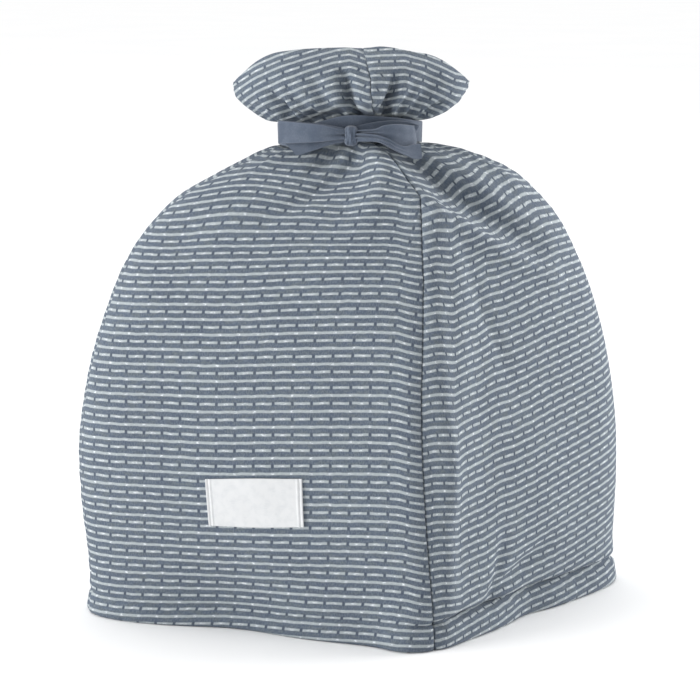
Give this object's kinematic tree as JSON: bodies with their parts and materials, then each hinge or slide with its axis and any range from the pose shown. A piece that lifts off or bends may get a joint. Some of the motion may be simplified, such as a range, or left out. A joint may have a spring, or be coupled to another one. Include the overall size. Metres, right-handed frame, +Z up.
{
  "type": "tea cosy",
  "caption": "Cloth tea cosy with a soft four-sided body, gathered at the neck by a ribbon bow under a flared frill.",
  "frame": {"origin": "centre of the bounding box, at the level of the hem's lower edge", "axes": "+Z up; the front panel with the label faces -Y; +X is to the right as seen from the front"},
  "size_m": [0.2595, 0.1747, 0.2888],
  "materials": {
    "striped_cloth": "matte weave, blue-grey with pale lines",
    "woven_label": "fine matte weave, blank",
    "ribbon": "plain matte tape, blue-grey"
  },
  "bodies": {
    "root": {"panel_front": "striped_cloth", "panel_right": "striped_cloth", "panel_back": "striped_cloth", "panel_left": "striped_cloth", "label": "woven_label", "ribbon_tie": "ribbon"}
  },
  "joints": []
}
